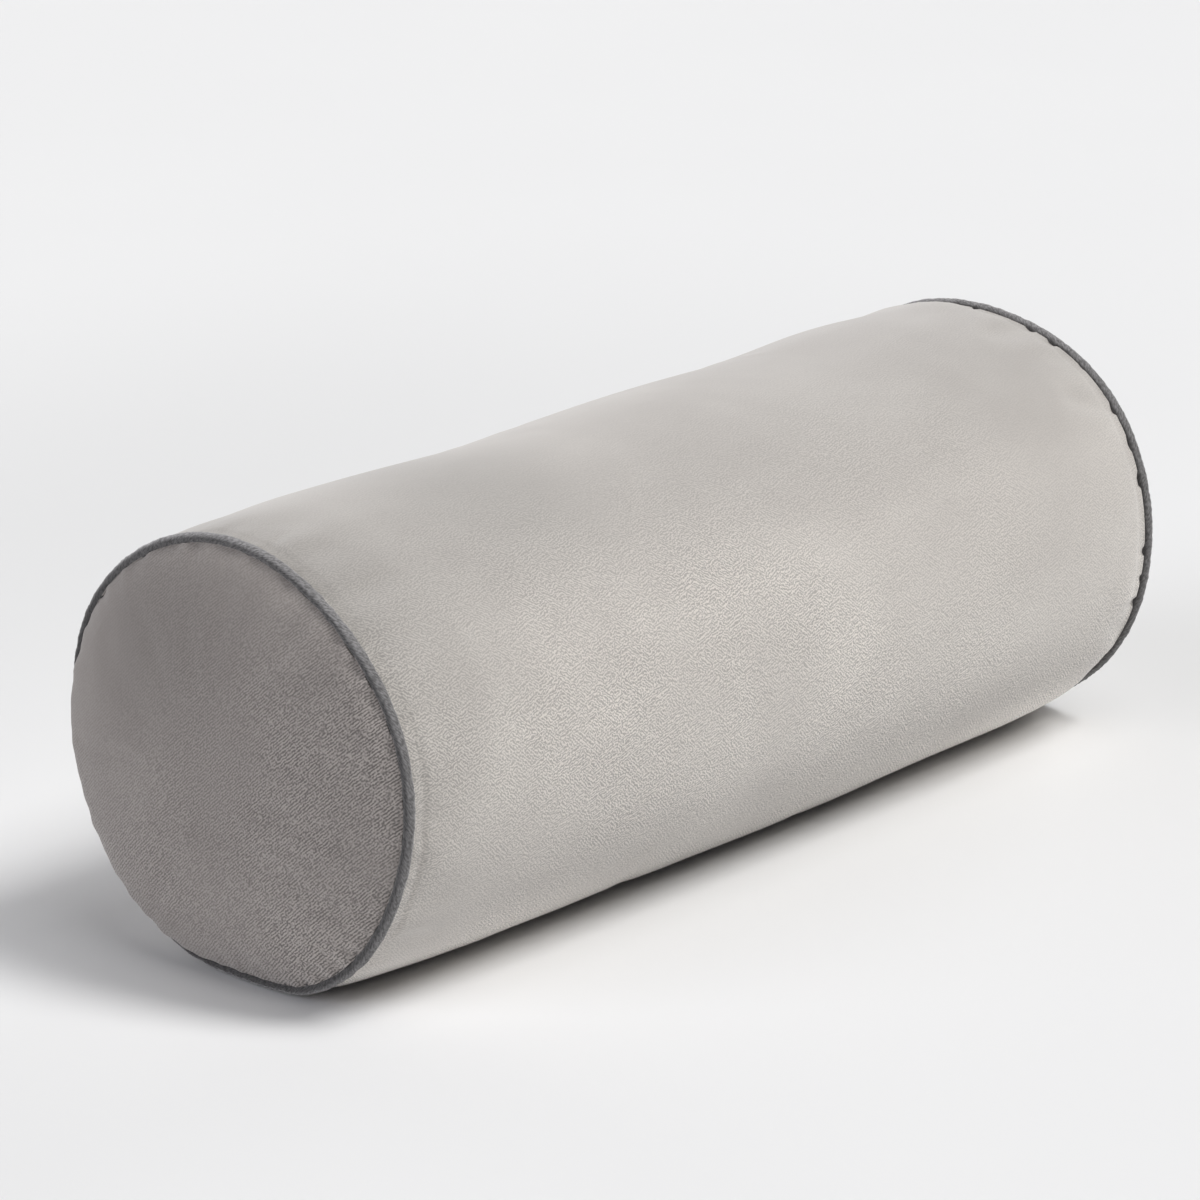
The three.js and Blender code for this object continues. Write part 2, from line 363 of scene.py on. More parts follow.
def bands(from_seam, angle):
    """Ridge and crease beside the left seam, over part of its round."""
    arc = np.exp(-0.5 * (turn_between(np.degrees(angle), RIDGE_ARC["facing"]) / RIDGE_ARC["spread"]) ** 2)
    total = 0
    for band in (SEAM_RIDGE, SEAM_CREASE):
        away = (from_seam - band["from_seam"]) / band["half_width"]
        total = total + band["height"] * np.exp(-(away**2))
    return total * arc


def barrel_lift(x, angle, side):
    """How far the cover stands outside the seam line, with the details at its seams."""
    from_seam = HALF - np.abs(x)
    lift = crown(x, angle)
    near = np.exp(-from_seam / PUCKERS["reach"])
    puckers = ring_signal(angle, PUCKERS["waves"], seed_of("barrel_puckers", side))
    lift = lift + PUCKERS["on_barrel"] * puckers * near
    lift = lift + notches(from_seam, angle, seed_of("barrel_notches", side))
    lift = lift + pulls(from_seam, angle, seed_of("barrel_pulls", side))
    if side < 0:
        lift = lift + bands(from_seam, angle)
    return lift + swells(PRESSED_SPOTS, x, np.degrees(angle))


def overhang(side, angle):
    """Share, 0 to 1, of the end panel's swell over the cord."""
    if side > 0:
        return np.zeros_like(angle)
    aside = turn_between(np.degrees(angle), OVERHANG["facing"]) / OVERHANG["spread"]
    return np.exp(-(aside**4))


def at_cord(side, angle, out, lift):
    """Points at a place beside the cord, which is rolled aside where the end panel swells."""
    share = overhang(side, angle)
    x = side * (HALF + out - OVERHANG["roll"] * share)
    return place(x, angle, 1, lift - OVERHANG["sunk"] * share)


def beside_cord(degrees):
    """Place beside the cord: how far beyond the seam's plane, and how far outside its line.
    0 faces into the barrel and 90 away from the axis."""
    turn = np.radians(degrees)
    return -TUCK["radius"] * np.cos(turn), TUCK["radius"] * np.sin(turn)


def grid_object(name, rows, apexes=None):
    """Closed mesh through rows of points that go the same way round: with an apex at each end,
    or with the last row joined to the first."""
    rows = np.asarray(rows)
    count, around = rows.shape[:2]
    points = rows.reshape(-1, 3)
    here = np.arange(count if apexes is None else count - 1)[:, None] * around
    ahead = (here + around) % (count * around)
    i = np.arange(around)[None, :]
    j = (i + 1) % around
    faces = np.stack([here + i, here + j, ahead + j, ahead + i], axis=-1).reshape(-1, 4).tolist()
    if apexes is not None:
        first, last = len(points), len(points) + 1
        points = np.concatenate([points, np.asarray(apexes)])
        end = (count - 1) * around
        faces += [[first, b, a] for a, b in zip(range(around), j[0].tolist())]
        faces += [[last, end + a, end + b] for a, b in zip(range(around), j[0].tolist())]
    mesh = bpy.data.meshes.new(name)
    mesh.from_pydata(points.tolist(), [], faces)
    mesh.polygons.foreach_set("use_smooth", [True] * len(mesh.polygons))
    mesh.update()
    piece = bpy.data.objects.new(name, mesh)
    bpy.context.scene.collection.objects.link(piece)
    return piece


def dome_rows(side, angles, rim, height, shares):
    """Rows of a dome from its middle outwards, and its apex. rim is its place beside the cord."""
    out, lift = rim
    top = HALF + out + height
    to_seam = (SEAM_RADIUS + lift) / SEAM_RADIUS
    over = overhang(side, angles)
    aside = turn_between(np.degrees(angles), OVERHANG["more_facing"]) / OVERHANG["more_spread"]
    most = OVERHANG["wall"] + OVERHANG["more"] * np.exp(-0.5 * aside**2)
    rows = []
    for share in shares:
        from_rim = (1 - share) * SEAM_RADIUS
        wall = most * (1 - math.exp(-from_rim / OVERHANG["wall_reach"])) * share**2
        roll = OVERHANG["roll"] * math.exp(-from_rim / OVERHANG["roll_reach"])
        sunk = OVERHANG["sunk"] * math.exp(-from_rim / OVERHANG["sunk_reach"])
        x = side * (top - height * share**DOME_POWER + over * (wall - roll))
        rows.append(place(x, angles, share * to_seam, -over * sunk))
    return rows, (side * top, 0.0, AXIS_HEIGHT)


def smoothed(field, sigma_rows, sigma_round):
    """Field of rows by places round, blurred; it wraps round and is mirrored past its ends."""
    both = np.concatenate([field, field[::-1]])
    rows_f = np.fft.fftfreq(both.shape[0])[:, None]
    round_f = np.fft.fftfreq(both.shape[1])[None, :]
    keep = np.exp(-2 * math.pi**2 * ((rows_f * sigma_rows) ** 2 + (round_f * sigma_round) ** 2))
    return np.fft.ifft2(np.fft.fft2(both) * keep).real[: field.shape[0]]


class Wrinkles:
    """Small uneven swells of the cover, from a simulation of it under pressure with both seams
    held, over a grid of places along the barrel, over the domes, and round the cushion."""

    def __init__(self):
        self.angles = np.linspace(-math.pi, math.pi, SIM["around"], endpoint=False)
        last = HALF - SIM["clear_of_seam"]
        self.along = np.linspace(-last, last, int(SEAM_TO_SEAM / SIM["step"]))
        steps = int(SEAM_RADIUS / SIM["step"])
        self.shares = np.linspace(SIM["dome_from"], SIM["dome_to"], steps)
        self.barrel = np.zeros((len(self.along), len(self.angles)))
        self.domes = {side: np.zeros((len(self.shares), len(self.angles))) for side in (-1, 1)}
        self.simulate()

    def cover_rows(self):
        """Rows of the whole cover from the left apex to the right one, and the two apexes."""
        rim = beside_cord(TUCK["cover_in_simulation"])
        parts = {side: dome_rows(side, self.angles, rim, DOME_HEIGHT, self.shares) for side in (-1, 1)}
        seam_rows = {side: [place(side * HALF, self.angles, 1, 0)] for side in (-1, 1)}
        lifts = crown(self.along[:, None], self.angles[None, :]) - SIM["smaller"]
        barrel_rows = place(self.along[:, None], self.angles[None, :], 1, lifts)
        rows = np.concatenate([
            parts[-1][0], seam_rows[-1], barrel_rows, seam_rows[1], parts[1][0][::-1]])
        return rows, (parts[-1][1], parts[1][1])

    def simulate(self):
        rows, apexes = self.cover_rows()
        cover = grid_object("cover_in_simulation", rows, apexes)
        held = cover.vertex_groups.new(name="held")
        around, dome = len(self.angles), len(self.shares)
        for row in (dome, dome + 1 + len(self.along)):
            held.add(list(range(row * around, (row + 1) * around)), 1, "REPLACE")
        cloth = cover.modifiers.new("cloth", "CLOTH")
        cloth.settings.vertex_group_mass = "held"
        cloth.settings.quality = SIM["quality"]
        cloth.settings.use_pressure = True
        cloth.settings.uniform_pressure_force = SIM["pressure"]
        cloth.settings.shrink_min = -SIM["growth"]
        cloth.settings.effector_weights.gravity = 0
        cloth.settings.tension_stiffness = SIM["stretch_stiffness"]
        cloth.settings.compression_stiffness = SIM["stretch_stiffness"]
        cloth.settings.bending_stiffness = SIM["bending_stiffness"]
        cloth.collision_settings.use_collision = False
        scene = bpy.context.scene
        for number in range(1, SIM["frames"] + 1):
            scene.frame_set(number)
        swollen = cover.evaluated_get(bpy.context.evaluated_depsgraph_get())
        moved = self.per_vertex(swollen, "co", rows.shape) - rows
        lift = (moved * self.per_vertex(cover, "normal", rows.shape)).sum(axis=-1)
        scene.frame_set(1)
        bpy.data.objects.remove(cover)
        self.barrel = self.detail(lift[dome + 1 : dome + 1 + len(self.along)])
        self.domes[-1] = self.detail(lift[:dome])
        self.domes[1] = self.detail(lift[: -dome - 1 : -1])

    @staticmethod
    def per_vertex(piece, kind, shape):
        """Positions or normals of a mesh's vertices in its rows, without the apexes."""
        values = np.zeros(len(piece.data.vertices) * 3)
        piece.data.vertices.foreach_get(kind, values)
        return values[: math.prod(shape)].reshape(shape)

    @staticmethod
    def detail(lift):
        """The fine part of the lift, rounded off at its greatest height."""
        sigma = SIM["keeps_under"] / SIM["step"] / 2
        fine = lift - smoothed(lift, sigma, sigma)
        fine = smoothed(fine, SIM["blur"], SIM["blur"])
        return SIM["cap"] * np.tanh(fine / SIM["cap"])

    def sample(self, field, places, where, angle):
        """The field at places along its rows and angles round it."""
        row = np.clip(np.interp(where, places, np.arange(len(places))), 0, len(places) - 1.001)
        column = ((angle + math.pi) / (2 * math.pi) * len(self.angles)) % len(self.angles)
        row, column = np.broadcast_arrays(row, column)
        r, c = row.astype(int), column.astype(int) % len(self.angles)
        u, v = row - r, column - np.floor(column)
        u, v = u * u * (3 - 2 * u), v * v * (3 - 2 * v)
        c2 = (c + 1) % len(self.angles)
        low = field[r, c] * (1 - v) + field[r, c2] * v
        high = field[r + 1, c] * (1 - v) + field[r + 1, c2] * v
        return low * (1 - u) + high * u

    def on_barrel(self, x, angle):
        return self.sample(self.barrel, self.along, x, angle)

    def on_dome(self, side, share, angle):
        return self.sample(self.domes[side], self.shares, share, angle)


def fine_angles(count):
    """Even steps round the cushion, with closer ones at the closing seam."""
    step = 360 / count
    even = -180 + step * np.arange(count)
    halves = np.linspace(-2, 2, CLOSING_SEAM["points_across"])
    across = np.degrees(CLOSING_SEAM["half_width"] * halves / SEAM_RADIUS)
    seam = CLOSING_SEAM["facing"] + across
    kept = even[np.abs(turn_between(even, CLOSING_SEAM["facing"])) > across.max() + step / 3]
    return np.radians(np.sort(np.concatenate([kept, seam])))


def make_barrel(wrinkles):
    """Filled barrel with its cover: domes under the end panels, tucked in under the piping."""
    angles = fine_angles(POINTS_ROUND["barrel"])
    halves = {}
    for side in (-1, 1):
        out, lift = beside_cord(TUCK["barrel_dome"])
        rim = (out - TUCK["dome_inset"], lift)
        rows, apex = dome_rows(side, angles, rim, DOME_HEIGHT, BARREL_DOME_ROWS)
        drawn = drawn_in(angles, seed_of("barrel_notches", side))
        leaves = TUCK["leaves"] - NOTCHES["turn"] * drawn
        for share in np.linspace(0, 1, TUCK["rows"]):
            degrees = TUCK["goes_in"] + (leaves - TUCK["goes_in"]) * share
            rows.append(at_cord(side, angles, *beside_cord(degrees)))
        rolled = overhang(side, angles)
        tucked = beside_cord(leaves)[1] - OVERHANG["sunk"] * rolled
        rise = TUCK["reach"] + NOTCHES["longer"] * drawn
        for from_seam in BARREL_ROWS * MM:
            x = side * (HALF - from_seam)
            fade = 1 - math.exp(-from_seam / SIM["fades_on_barrel"])
            lift = barrel_lift(x, angles, side) + wrinkles.on_barrel(x, angles) * fade
            out_of_tuck = 1 - np.exp(-(from_seam - TUCK["from_seam"]) / rise)
            pushed = OVERHANG["roll"] * rolled * math.exp(-from_seam / OVERHANG["barrel_reach"])
            row = place(x - side * pushed, angles, 1, tucked + (lift - tucked) * out_of_tuck)
            row[:, 2] = settled(row[:, 2], 0.0)
            rows.append(row)
        halves[side] = rows, apex
    rows = halves[-1][0] + halves[1][0][::-1][1:]
    return grid_object("barrel", rows, (halves[-1][1], halves[1][1]))


def make_end_panel(side, wrinkles):
    """Domed velvet disc over one end: outer face, rim in the ditch beside the piping, inner face."""
    count = POINTS_ROUND["end_panel"]
    angles = np.radians(-180 + 360 / count * np.arange(count))
    outer_rim, inner_rim = beside_cord(TUCK["panel_outside"]), beside_cord(TUCK["panel_inside"])
    height = DOME_HEIGHT + PANEL_THICKNESS + inner_rim[0] - outer_rim[0]
    rows, apex = dome_rows(side, angles, outer_rim, height, END_PANEL_ROWS)
    swollen = overhang(side, angles)
    uneven = DITCH["uneven"] * ring_signal(angles, NOTCHES["waves"], seed_of("ditch", side))
    uneven = np.clip(DITCH["usual"] + uneven, 0, DITCH["most"])
    puckers = PUCKERS["on_end"] * ring_signal(angles, PUCKERS["waves"], seed_of("end_puckers", side))
    puckers = puckers * (1 - PUCKERS["lost_in_overhang"] * swollen)
    for row, share in zip(rows, END_PANEL_ROWS):
        from_rim = (1 - share) * SEAM_RADIUS
        ditch = DITCH["depth"] * math.exp(-from_rim / DITCH["width"]) * uneven
        pucker = puckers * math.exp(-from_rim / PUCKERS["reach"])
        fade = 1 - math.exp(-from_rim / SIM["fades_on_dome"])
        fade = min(1, share / SIM["fades_to_middle"]) * fade
        small = wrinkles.on_dome(side, share, angles) * fade
        drawn = notches(from_rim, angles, seed_of("end_notches", side)) * (1 - swollen)
        drawn = drawn + pulls(from_rim, angles, seed_of("end_pulls", side))
        row[:, 0] += side * (pucker + drawn + small - ditch)
    inner, inner_apex = dome_rows(side, angles, inner_rim, DOME_HEIGHT, PANEL_INSIDE_ROWS)
    edge = [at_cord(side, angles, *beside_cord(degrees)) for degrees in TUCK["panel_edge"]]
    rows = rows + edge + inner[::-1]
    apexes = (apex, inner_apex)
    if side > 0:
        rows, apexes = rows[::-1], apexes[::-1]
    return grid_object("end_panel_near" if side < 0 else "end_panel_far", rows, apexes)


def tufts(count, around, seed):
    """Uneven pile over a cord, about 1 high, in rows round it and places along it."""
    dice = np.random.default_rng(seed)
    across_f = np.fft.fftfreq(around, 2 * math.pi * PIPING_RADIUS / around)[:, None]
    along_f = np.fft.fftfreq(count, 2 * math.pi * SEAM_RADIUS / count)[None, :]
    slant = math.radians(TUFTS["slant"])
    with_tuft = along_f * math.cos(slant) + across_f * math.sin(slant)
    over_tuft = across_f * math.cos(slant) - along_f * math.sin(slant)
    far = (with_tuft * TUFTS["along"] / 2) ** 2 + (over_tuft * TUFTS["across"] / 2) ** 2
    keep = np.exp(-2 * math.pi**2 * far)
    field = np.fft.ifft2(np.fft.fft2(dice.normal(size=(around, count))) * keep).real
    return field / field.std()


def make_piping(side):
    """Covered cord round one end seam, slightly uneven as a sewn bias strip is, with its pile."""
    count, around = POINTS_ALONG_CORD, POINTS_ROUND["cord"]
    angles = np.linspace(-math.pi / 2, 1.5 * math.pi, count, endpoint=False)
    uneven = CORD_WAVES["share"] * ring_signal(angles, CORD_WAVES["waves"], seed_of("cord", side))
    bare = PIPING_RADIUS * (1 + uneven)
    pile = TUFTS["height"] * tufts(count, around, seed_of("tufts", side))
    rows = []
    for number in range(around):
        turn = 2 * math.pi * number / around
        radius = bare + pile[number]
        rows.append(at_cord(side, angles, -radius * math.cos(turn), radius * math.sin(turn)))
    piece = grid_object("piping_near" if side < 0 else "piping_far", rows[::side])
    along = (np.arange(count)[:, None] + np.array([0, 1, 1, 0])) / count
    across = (np.arange(around)[::side, None] + np.array([0, 0, side, side])) / around
    places = np.empty((around, count, 4, 2))
    places[..., 0] = along[None]
    places[..., 1] = across[:, None]
    piece.data.uv_layers.new(name="cloth").data.foreach_set("uv", places.ravel())
    return piece


class Nodes:
    """Short way to write a material's nodes."""

    def __init__(self, name):
        self.material = bpy.data.materials.new(name)
        self.material.use_nodes = True
        self.tree = self.material.node_tree
        self.shader = self.tree.nodes["Principled BSDF"]
        self.where = self.add("ShaderNodeTexCoord").outputs["Object"]

    def add(self, kind, inputs=None, **settings):
        node = self.tree.nodes.new(kind)
        for key, value in settings.items():
            setattr(node, key, value)
        for key, value in (inputs or {}).items():
            if isinstance(value, bpy.types.NodeSocket):
                self.tree.links.new(value, node.inputs[key])
            else:
                node.inputs[key].default_value = value
        return node

    def noise(self, scale, detail=2.0, roughness=0.5, distortion=0.0, vector=None):
        inputs = {"Vector": vector or self.where, "Scale": scale, "Detail": detail}
        inputs.update({"Roughness": roughness, "Distortion": distortion})
        return self.add("ShaderNodeTexNoise", inputs).outputs["Fac"]

    def ranged(self, value, low, high, to_low=0.0, to_high=1.0):
        inputs = {"Value": value, "From Min": low, "From Max": high}
        inputs.update({"To Min": to_low, "To Max": to_high})
        return self.add("ShaderNodeMapRange", inputs, interpolation_type="SMOOTHSTEP").outputs["Result"]

    def math(self, operation, a, b):
        return self.add("ShaderNodeMath", {0: a, 1: b}, operation=operation).outputs[0]

    def mix(self, share, a, b):
        node = self.add("ShaderNodeMix", {"Factor": share}, data_type="RGBA")
        for socket, value in ((node.inputs[6], a), (node.inputs[7], b)):
            if isinstance(value, bpy.types.NodeSocket):
                self.tree.links.new(value, socket)
            else:
                socket.default_value = (*value, 1)
        return node.outputs[2]

    def turned(self, rotation, scale, vector=None):
        """Object coordinates, or others, turned and stretched."""
        turn = self.add("ShaderNodeMapping", {"Vector": vector or self.where, "Rotation": rotation})
        return self.add("ShaderNodeMapping", {"Vector": turn.outputs[0], "Scale": scale}).outputs[0]

    def height(self):
        return self.add("ShaderNodeSeparateXYZ", {"Vector": self.where}).outputs["Z"]

    def unrolled(self):
        """Places on the barrel's cloth as if it lay flat: along it, and round it."""
        parts = self.add("ShaderNodeSeparateXYZ", {"Vector": self.where}).outputs
        turn = self.math("ARCTAN2", parts["Y"], self.math("SUBTRACT", parts["Z"], AXIS_HEIGHT))
        across = self.math("MULTIPLY", turn, SEAM_RADIUS)
        return self.add("ShaderNodeCombineXYZ", {"X": parts["X"], "Y": across}).outputs[0]

    def ripples(self, vector, rotation, direction, row):
        """Fine broken ripples of the nap, 0 to 1: how long their waves are, how far they wander,
        and how long they keep their course."""
        turned = self.add("ShaderNodeMapping", {"Vector": vector, "Rotation": rotation}).outputs[0]
        scale = 2 * math.pi / (WAVE_TEXTURE_FACTOR * row["wave"])
        inputs = {"Vector": turned, "Scale": scale, "Distortion": row["wander"]}
        inputs.update({"Detail": 1.0, "Detail Scale": 1 / (scale * row["course"])})
        return self.add("ShaderNodeTexWave", inputs, bands_direction=direction).outputs["Fac"]

    def shaded(self, spots):
        """1, and less towards each of the spots."""
        total = 1.0
        for spot in spots:
            size = [1 / (reach * MM) for reach in spot["reach"]]
            start = [-place * MM * k for place, k in zip(spot["place"], size)]
            inputs = {"Vector": self.where, "Location": start, "Scale": size}
            near = self.add("ShaderNodeMapping", inputs).outputs[0]
            far = self.add("ShaderNodeVectorMath", {0: near}, operation="LENGTH").outputs["Value"]
            total = self.math("MULTIPLY", self.ranged(far, 0.0, 1.0, 1 - spot["less"], 1.0), total)
        return total

    def swinging(self, signal, strong, amount):
        """Factor about 1 that goes up and down by amount with a noise."""
        swing = self.ranged(signal, 0.3, 0.7, -amount, amount)
        return self.math("ADD", self.math("MULTIPLY", swing, strong), 1.0)

    def times(self, colour, factor):
        inputs = {0: colour, "Scale": factor}
        return self.add("ShaderNodeVectorMath", inputs, operation="SCALE").outputs["Vector"]

    def finish(self, colour, height, distance, strength, **sockets):
        """Joins colour and relief to the shader, and sets its other sockets by name."""
        bump = self.add("ShaderNodeBump", {"Height": height, "Distance": distance, "Strength": strength})
        self.tree.links.new(colour, self.shader.inputs["Base Color"])
        self.tree.links.new(bump.outputs[0], self.shader.inputs["Normal"])
        for name, value in sockets.items():
            self.shader.inputs[name.replace("_", " ")].default_value = value
        return self.material


# Soft painted shade, and painted light where less is below 0: place and reach in mm, and how much less
# light
BARREL_PAINTED_SHADE_AND_LIGHT = [
    {"place": (-235, -30, 120), "reach": (120, 150, 110), "less": 0.25},
    {"place": (-215, 20, 165), "reach": (60, 60, 50), "less": 0.1},
    {"place": (-115, 0, 160), "reach": (75, 90, 60), "less": 0.2},
    {"place": (200, -45, 8), "reach": (170, 60, 42), "less": -0.44},
    {"place": (-150, -45, 8), "reach": (120, 60, 36), "less": -0.3},
]
# Painted shade on the upper part of the near end panel, in the same way
END_PAINTED_SHADE = [
    {"place": (-238, 30, 130), "reach": (60, 62, 55), "less": 0.12},
]
# Painted shadow on the floor behind the cushion, in the same way
FLOOR_PAINTED_SHADOW = [
    {"place": (150, 430, 0), "reach": (800, 480, 400), "less": 0.09},
]
# Where the pile is brushed smooth, in the same way
BARREL_SMOOTH = [
    {"place": (0, 20, 190), "reach": (900, 165, 130), "less": 0.97},
    {"place": (190, -60, 150), "reach": (110, 70, 70), "less": 0.7},
    {"place": (150, -90, 110), "reach": (190, 90, 75), "less": 0.5},
    {"place": (-200, -85, 20), "reach": (40, 60, 50), "less": 0.7},
]
END_SMOOTH = [
    {"place": (-238, 80, 130), "reach": (60, 150, 150), "less": 0.95},
    {"place": (-238, 20, 0), "reach": (60, 50, 40), "less": 0.6},
    {"place": (-238, -30, 165), "reach": (60, 80, 70), "less": 0.7},
]
# Ripples of the barrel's nap and ribs of the end panels', with their turns in degrees and their
# share of the grain, and the fine grain between them
WAVE_TEXTURE_FACTOR = 20  # a wave texture has this many radians in a unit of its scale
RIPPLES = {"wave": 1.08 * MM, "wander": 6.0, "course": 1.7 * MM, "turns": (-15, 40), "share": 0.36}
RIBS = {"wave": 1.04 * MM, "wander": 2.6, "course": 2.2 * MM, "turn": 42, "share": 0.34}
GRAIN_PER_METRE = 1200
FINE_SHARE = {"barrel": 0.64, "end": 0.6}
SWING = {"barrel": 0.24, "end": 0.4}  # how far the grain takes the colour up and down
# Painted shade by height on the barrel: between two heights it goes from the lighter factor below to the
# darker one above
BARREL_PAINTED_SHADE_BY_HEIGHT = (122 * MM, 173 * MM, 1.03, 0.83)
# The piping is lighter above, between two heights, as painted light on its top, and darker towards its
# sides beside the panels and the barrel, as painted crevice shade
PIPING_PAINTED_LIGHT_ON_TOP = (110 * MM, 172 * MM, 1.0, 1.3)
PIPING_PAINTED_CREVICE_SHADE = (0.05, 0.85, 0.45, 1.02)
# Fibres of the piping: their slant in degrees, and how many in a metre along and across
FIBRES = {"slant": 32, "per_metre": (520, 1700, 1)}

# The two colours that each cloth lies between, as linear red, green and blue
COLOURS = {
    "barrel": ((0.622, 0.59, 0.557), (0.688, 0.656, 0.619)),
    # The end panels' velvet is the barrel's cloth painted darker: painted shade
    "end": ((0.314, 0.287, 0.271), (0.342, 0.314, 0.296)),
    "piping": ((0.135, 0.131, 0.131), (0.298, 0.291, 0.291)),
    "floor": ((0.797, 0.798, 0.8), (0.803, 0.804, 0.806)),
}
# Height and strength of each surface's relief
RELIEF = {
    "barrel": (0.12 * MM, 0.6),
    "end": (0.15 * MM, 0.7),
    "piping": (0.3 * MM, 0.7),
    "floor": (0.02 * MM, 0.1),
}
VELVET = {"Roughness": 0.85, "Diffuse_Roughness": 0.8, "Specular_IOR_Level": 0.15}


def barrel_velvet():
    n = Nodes("barrel velvet")
    patches = n.ranged(n.noise(9, detail=3, roughness=0.55, distortion=0.8), 0.36, 0.64)
    smeared = n.turned((0, 0, 0), (16, 34, 34))
    smears = n.ranged(n.noise(1, detail=3, roughness=0.6, vector=smeared), 0.35, 0.68)
    nap = n.math("ADD", n.math("MULTIPLY", patches, 0.6), n.math("MULTIPLY", smears, 0.4))
    colour = n.mix(nap, *COLOURS["barrel"])
    strong = n.ranged(n.noise(14, detail=3), 0.3, 0.7, 0.7, 1.3)
    strong = n.math("MULTIPLY", strong, n.shaded(BARREL_SMOOTH))
    # Ripples of the nap in two directions, one or the other from place to place
    cloth = n.unrolled()
    level, slanting = (
        n.ripples(cloth, (0, 0, math.radians(turn)), "Y", RIPPLES) for turn in RIPPLES["turns"])
    which = n.ranged(n.noise(160, detail=1), 0.4, 0.6)
    fine = n.noise(GRAIN_PER_METRE, detail=0, vector=cloth)
    rippled = n.math("MULTIPLY", which, level)
    other = n.math("MULTIPLY", n.math("SUBTRACT", 1.0, which), slanting)
    rippled = n.math("MULTIPLY", n.math("ADD", rippled, other), RIPPLES["share"])
    grain = n.math("ADD", rippled, n.math("MULTIPLY", fine, FINE_SHARE["barrel"]))
    # Painted shade and painted light from the spots, and painted shade on the barrel's top by height
    light = n.math("MULTIPLY", n.shaded(BARREL_PAINTED_SHADE_AND_LIGHT), n.ranged(n.height(), *BARREL_PAINTED_SHADE_BY_HEIGHT))
    light = n.math("MULTIPLY", light, n.swinging(grain, strong, SWING["barrel"]))
    return n.finish(
        n.times(colour, light), n.math("MULTIPLY", grain, strong), *RELIEF["barrel"],
        **VELVET, Sheen_Weight=0.3, Sheen_Roughness=0.5)


def end_velvet():
    n = Nodes("end panel velvet")
    patches = n.ranged(n.noise(13, detail=3, roughness=0.55, distortion=0.6), 0.36, 0.64)
    colour = n.mix(patches, *COLOURS["end"])
    strong = n.ranged(n.noise(20, detail=3), 0.3, 0.7, 0.7, 1.2)
    strong = n.math("MULTIPLY", strong, n.shaded(END_SMOOTH))
    # Fine ribs of the nap, short and slanting up towards the front
    ribs = n.ripples(n.where, (math.radians(RIBS["turn"]), 0, 0), "Z", RIBS)
    fine = n.noise(GRAIN_PER_METRE, detail=0)
    broken = n.ranged(n.noise(420, detail=0), 0.34, 0.62, 0.3, 1.2)
    ribs = n.math("MULTIPLY", n.math("SUBTRACT", ribs, 0.5), broken)
    ribs = n.math("MULTIPLY", ribs, RIBS["share"])
    grain = n.math("ADD", ribs, n.math("MULTIPLY", fine, FINE_SHARE["end"]))
    grain = n.math("ADD", grain, 0.2)
    # Painted shade from the spot on the near end panel
    light = n.math("MULTIPLY", n.shaded(END_PAINTED_SHADE), n.swinging(grain, strong, SWING["end"]))
    return n.finish(
        n.times(colour, light), n.math("MULTIPLY", grain, strong), *RELIEF["end"],
        **VELVET, Sheen_Weight=0.25, Sheen_Roughness=0.5)


def piping_velvet():
    n = Nodes("piping velvet")
    strip = n.add("ShaderNodeTexCoord").outputs["UV"]
    across = n.add("ShaderNodeSeparateXYZ", {"Vector": strip}).outputs["Y"]
    # 1 on the cord's outer side, 0 beside the panels; it sets the painted crevice shade towards the cord's
    # sides
    outer = n.math("SINE", n.math("MULTIPLY", across, 2 * math.pi), 0.0)
    size = (2 * math.pi * SEAM_RADIUS, 2 * math.pi * PIPING_RADIUS, 1)
    flat = n.add("ShaderNodeMapping", {"Vector": strip, "Scale": size}).outputs[0]
    slanted = n.turned((0, 0, math.radians(FIBRES["slant"])), FIBRES["per_metre"], flat)
    fibres = n.noise(1, detail=1, vector=slanted)
    pile = n.math("ADD", n.math("MULTIPLY", fibres, 0.7), n.math("MULTIPLY", n.noise(1100), 0.3))
    colour = n.mix(n.ranged(pile, 0.32, 0.68), *COLOURS["piping"])
    patches = n.ranged(n.noise(60, detail=2), 0.3, 0.7, 0.93, 1.07)
    # Painted light on the cord's top
    patches = n.math("MULTIPLY", patches, n.ranged(n.height(), *PIPING_PAINTED_LIGHT_ON_TOP))
    # Painted crevice shade towards the cord's sides
    colour = n.times(colour, n.math("MULTIPLY", patches, n.ranged(outer, *PIPING_PAINTED_CREVICE_SHADE)))
    sockets = {**VELVET, "Roughness": 0.8}
    return n.finish(colour, pile, *RELIEF["piping"], **sockets, Sheen_Weight=0.4, Sheen_Roughness=0.4)


def floor_paint():
    n = Nodes("floor paint")
    mottle = n.ranged(n.noise(3, detail=2), 0.3, 0.7)
    # Painted shadow behind the cushion
    colour = n.times(n.mix(mottle, *COLOURS["floor"]), n.shaded(FLOOR_PAINTED_SHADOW))
    return n.finish(colour, n.noise(400), *RELIEF["floor"], Roughness=0.9, Specular_IOR_Level=0)


def shifted_to_frame(pieces):
    """Moves all pieces sideways, so that the near piping lies where its solid is, and says how
    far."""
    low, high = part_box("piping_left")
    own = [v.co.y for v in pieces["piping_left"].data.vertices]
    shift = (low.y + high.y) / 2 - (min(own) + max(own)) / 2
    for piece in pieces.values():
        piece.data.transform(Matrix.Translation((0, shift, 0)))
    return shift


def direction(azimuth, elevation):
    """Unit vector towards an azimuth and a height angle in degrees."""
    a, e = math.radians(azimuth), math.radians(elevation)
    return Vector((math.sin(a) * math.cos(e), -math.cos(a) * math.cos(e), math.sin(e)))


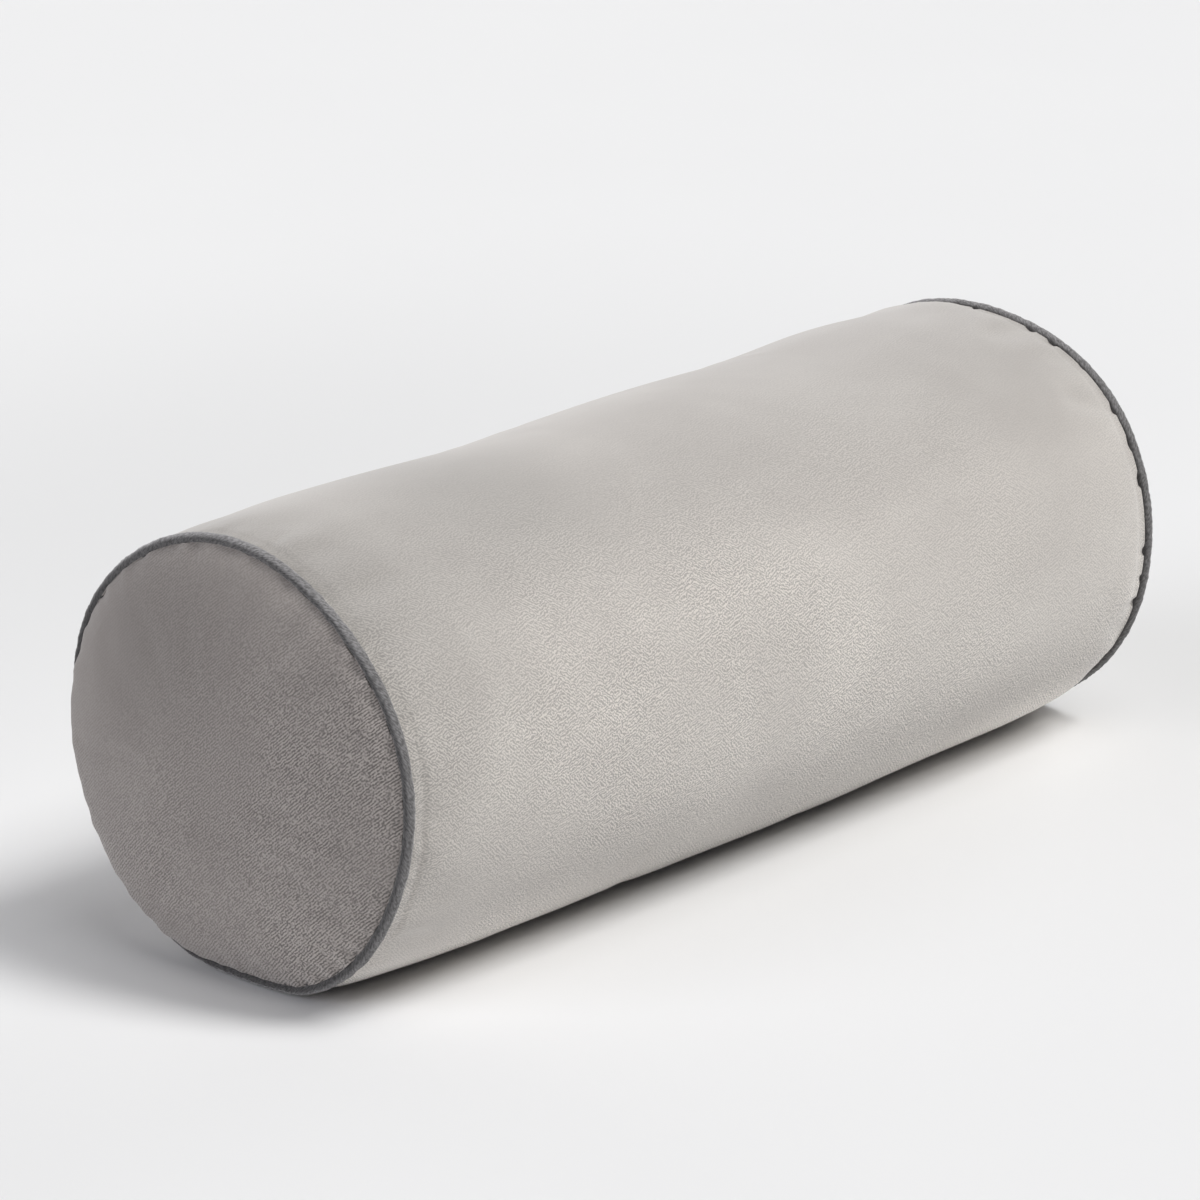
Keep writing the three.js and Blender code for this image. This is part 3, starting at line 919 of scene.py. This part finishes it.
def make_camera(sideways):
    back = direction(CAMERA["azimuth"], CAMERA["elevation"])
    yaw = math.atan2(-back.y, -back.x) + math.radians(CAMERA["yaw"])
    pitch = math.radians(CAMERA["elevation"]) + math.radians(CAMERA["pitch"])
    forward = Vector((math.cos(pitch) * math.cos(yaw), math.cos(pitch) * math.sin(yaw), -math.sin(pitch)))
    right = Vector((math.sin(yaw), -math.cos(yaw), 0))
    upward = right.cross(forward)
    data = bpy.data.cameras.new("camera")
    data.lens, data.sensor_width = CAMERA["lens_mm"], CAMERA["sensor_mm"]
    data.clip_end = CAMERA["sees_to"]
    camera = bpy.data.objects.new("camera", data)
    turn = Matrix((right, upward, -forward)).transposed().to_4x4()
    spot = Vector((0, sideways, AXIS_HEIGHT)) + back * CAMERA["distance"]
    camera.matrix_world = Matrix.Translation(spot) @ turn
    bpy.context.scene.collection.objects.link(camera)
    bpy.context.scene.camera = camera


def add_sun(name, azimuth, elevation, strength, spread, colour):
    data = bpy.data.lights.new(name, "SUN")
    data.energy, data.angle, data.color = strength, math.radians(spread), colour
    light = bpy.data.objects.new(name, data)
    light.rotation_mode = "QUATERNION"
    light.rotation_quaternion = direction(azimuth, elevation).to_track_quat("Z", "Y")
    bpy.context.scene.collection.objects.link(light)


def make_studio():
    for row in LIGHTS:
        add_sun(**row)
    world = bpy.data.worlds.new("studio")
    bpy.context.scene.world = world
    world.use_nodes = True
    background = world.node_tree.nodes["Background"]
    background.inputs["Color"].default_value = (*WORLD["colour"], 1)
    background.inputs["Strength"].default_value = WORLD["strength"]
    bpy.context.scene.view_settings.view_transform = "Standard"
    mesh = bpy.data.meshes.new("floor")
    corners = [(x * FLOOR_REACH, y * FLOOR_REACH, 0) for x, y in ((-1, -1), (1, -1), (1, 1), (-1, 1))]
    mesh.from_pydata(corners, [], [(0, 1, 2, 3)])
    floor = bpy.data.objects.new("floor", mesh)
    floor.data.materials.append(floor_paint())
    bpy.context.scene.collection.objects.link(floor)


def make_cushion():
    """All pieces with their finishes, and how far they were moved sideways."""
    wrinkles = Wrinkles()
    pieces = {
        "barrel_panel": make_barrel(wrinkles),
        "end_panel_left": make_end_panel(-1, wrinkles),
        "end_panel_right": make_end_panel(1, wrinkles),
        "piping_left": make_piping(-1),
        "piping_right": make_piping(1),
    }
    sideways = shifted_to_frame(pieces)
    velvet, ends, cord = barrel_velvet(), end_velvet(), piping_velvet()
    finishes = {"barrel_panel": velvet, "end_panel_left": ends, "end_panel_right": ends}
    for node, piece in pieces.items():
        piece.data.materials.append(finishes.get(node, cord))
        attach(piece, "root")
        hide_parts(node)
    return sideways


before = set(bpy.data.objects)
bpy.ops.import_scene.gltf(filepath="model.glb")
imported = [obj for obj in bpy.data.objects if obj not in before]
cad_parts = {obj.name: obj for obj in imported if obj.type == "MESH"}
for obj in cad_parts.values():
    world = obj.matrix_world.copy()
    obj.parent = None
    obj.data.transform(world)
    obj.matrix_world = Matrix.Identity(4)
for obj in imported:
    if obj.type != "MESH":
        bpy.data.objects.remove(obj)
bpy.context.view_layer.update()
camera_shift = make_cushion()
make_camera(camera_shift)
make_studio()
